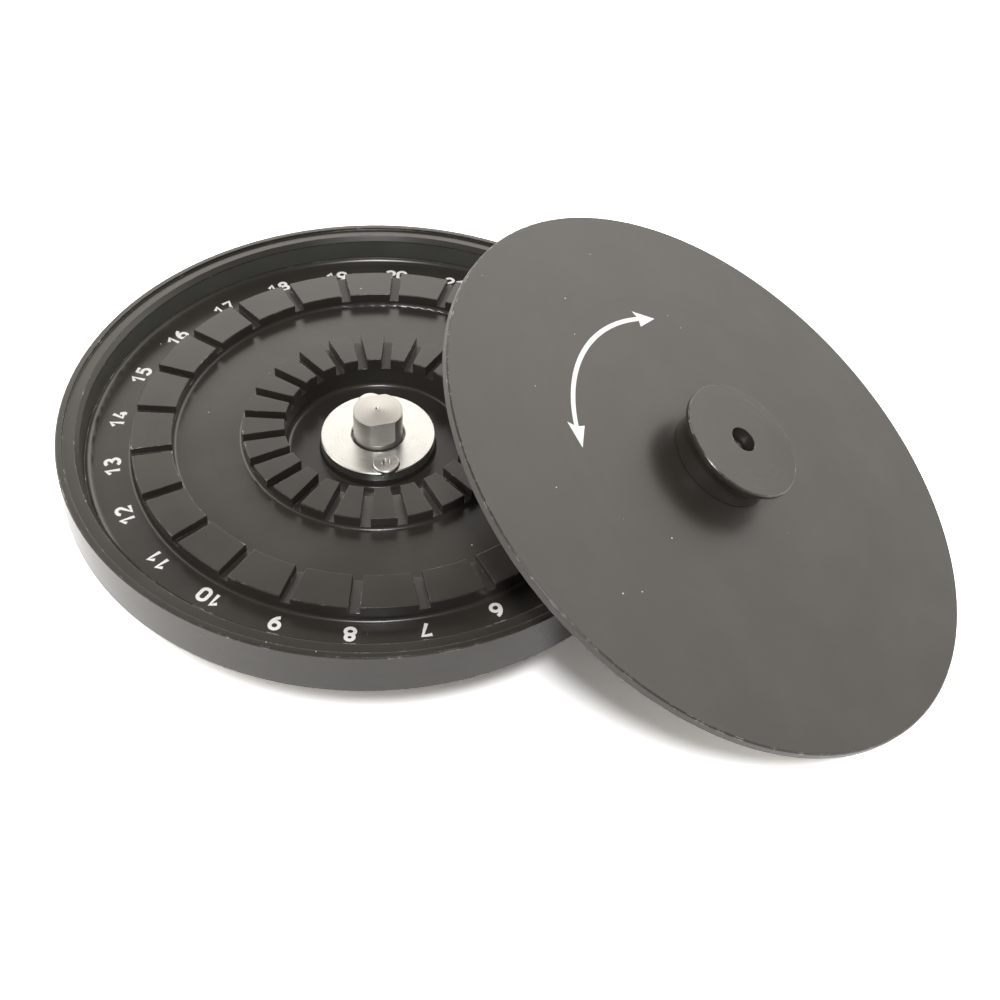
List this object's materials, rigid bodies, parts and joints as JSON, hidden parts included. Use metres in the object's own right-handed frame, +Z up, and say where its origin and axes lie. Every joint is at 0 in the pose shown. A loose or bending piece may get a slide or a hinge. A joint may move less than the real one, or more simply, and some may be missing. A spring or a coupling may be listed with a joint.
{
  "type": "capillary tube centrifuge rotor with lid",
  "caption": "Shallow black centrifuge rotor with radial tube slots in two castellated rings, a captive clamping nut, and its flat lid with a turning knob leaning on the rim.",
  "frame": {"origin": "centre of the motor shaft bore at the lower face of the hub, on the surface that the rotor stands on", "axes": "+Z up along the rotor's shaft axis; +X through tube place 1; the numbers run clockwise seen from +Z; the lid leans on the rim towards +X and -Y"},
  "size_m": [0.2682, 0.2308, 0.0899],
  "materials": {
    "black_anodised": "satin black anodised, turned",
    "black_rubber": "matt moulded rubber",
    "stainless": "fine turned stainless steel",
    "screw_steel": "bright machine screws",
    "bush_steel": "ground tool steel, lightly oiled",
    "bronze": "dull bearing bronze",
    "slip_plastic": "waxy white plastic"
  },
  "bodies": {
    "rotor": {"rotor_body": "black_anodised", "rim_gasket": "black_rubber", "hub_plate": "stainless", "hub_screws": "screw_steel", "thrust_washer": "bronze", "drive_bush": "bush_steel", "bush_screws": "screw_steel"},
    "nut": {"clamp_nut": "stainless"},
    "lid": {"lid_plate": "black_anodised", "lid_hub": "black_anodised", "slip_washer": "slip_plastic", "thrust_ring": "bronze"},
    "knob": {"knob": "black_anodised", "knob_screw": "screw_steel", "knob_dowels": "bush_steel", "lock_socket": "stainless", "grip_ring": "black_rubber"}
  },
  "joints": [
    {"name": "nut_turn", "type": "hinge", "parent": "rotor", "child": "nut", "pos_m": [0, 0, 0.03], "axis": [0, 0, 1], "continuous": true},
    {"name": "lid_lift", "type": "slide", "parent": "rotor", "child": "lid", "axis": [0, 0, 1], "range_m": [0, 0.15]},
    {"name": "knob_turn", "type": "hinge", "parent": "lid", "child": "knob", "pos_m": [0.09254, -0.04774, 0.04612], "axis": [0.437, -0.201, 0.8767], "continuous": true}
  ]
}
